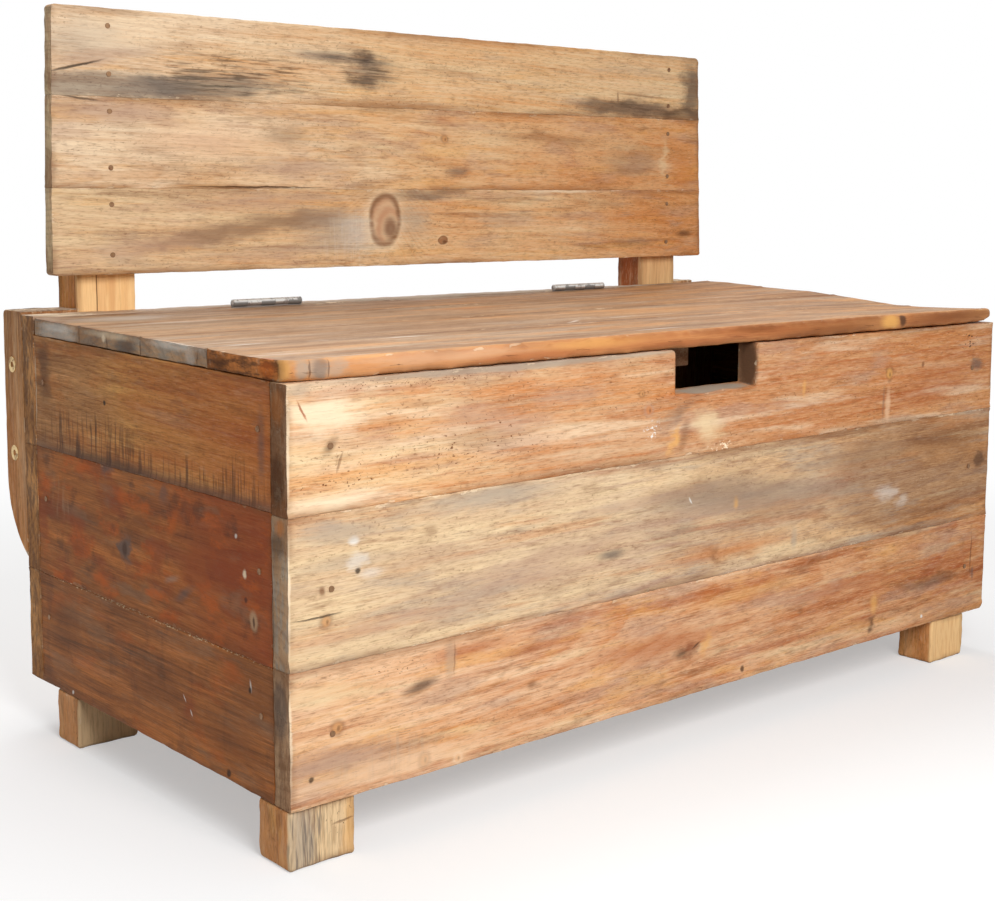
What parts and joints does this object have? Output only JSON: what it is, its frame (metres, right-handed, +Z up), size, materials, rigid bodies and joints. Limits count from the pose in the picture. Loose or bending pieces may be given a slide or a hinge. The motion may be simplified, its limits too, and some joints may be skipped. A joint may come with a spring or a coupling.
{
  "type": "storage bench",
  "caption": "Wooden box bench of worn reclaimed boards on short block feet, with a hinged seat lid, a hand notch in the front and a plank backrest on posts.",
  "frame": {"origin": "on the floor, under the middle of the bench's overall box", "axes": "+Z up, +X to the right of a viewer who faces the bench's front, +Y from the front to the backrest"},
  "size_m": [0.86, 0.456, 0.634],
  "materials": {
    "wall_wood": "worn, oiled",
    "lid_wood": "worn, waxed",
    "backrest_wood": "worn, oiled",
    "post_wood": "planed, oiled",
    "foot_wood": "planed, raw",
    "inner_wood": "sawn, raw",
    "hinge_steel": "plain steel",
    "nail_steel": "dull, aged",
    "bolt_brass": "satin"
  },
  "bodies": {
    "bench": {"front_board_bottom": "wall_wood", "front_board_middle": "wall_wood", "front_board_top": "wall_wood", "back_board_bottom": "wall_wood", "back_board_middle": "wall_wood", "back_board_top": "wall_wood", "left_board_bottom": "wall_wood", "left_board_middle": "wall_wood", "left_board_top": "wall_wood", "right_board_bottom": "wall_wood", "right_board_middle": "wall_wood", "right_board_top": "wall_wood", "floor_bearer_left": "inner_wood", "floor_bearer_middle": "inner_wood", "floor_bearer_right": "inner_wood", "corner_batten_front_left": "inner_wood", "corner_batten_front_right": "inner_wood", "corner_batten_back_left": "inner_wood", "corner_batten_back_right": "inner_wood", "floor_board_1": "inner_wood", "floor_board_2": "inner_wood", "floor_board_3": "inner_wood", "floor_board_4": "inner_wood", "foot_front_left": "foot_wood", "foot_front_right": "foot_wood", "foot_back_left": "foot_wood", "foot_back_right": "foot_wood", "cheek_left": "post_wood", "post_left": "post_wood", "cheek_right": "post_wood", "post_right": "post_wood", "backrest_board_bottom": "backrest_wood", "backrest_board_middle": "backrest_wood", "backrest_board_top": "backrest_wood", "hinge_left_wall_leaf": "hinge_steel", "hinge_left_pin": "hinge_steel", "hinge_right_wall_leaf": "hinge_steel", "hinge_right_pin": "hinge_steel", "front_nails": "nail_steel", "back_nails": "nail_steel", "side_nails": "nail_steel", "backrest_nails": "nail_steel", "floor_nails": "nail_steel", "foot_screws": "nail_steel", "cheek_screws": "nail_steel", "wall_leaf_screws": "hinge_steel", "connector_bolts": "bolt_brass", "barrel_nuts": "bolt_brass"},
    "lid": {"lid_board_front": "lid_wood", "lid_board_second": "lid_wood", "lid_board_third": "lid_wood", "lid_board_back": "lid_wood", "lid_batten_left": "inner_wood", "lid_batten_middle": "inner_wood", "lid_batten_right": "inner_wood", "hinge_left_lid_leaf": "hinge_steel", "hinge_right_lid_leaf": "hinge_steel", "lid_leaf_screws": "hinge_steel", "lid_nails": "nail_steel"}
  },
  "joints": [
    {"name": "lid_hinge", "type": "hinge", "parent": "bench", "child": "lid", "pos_m": [0, 0.1653, 0.3695], "axis": [-1, 0, 0], "range_deg": [0, 93.5]}
  ]
}
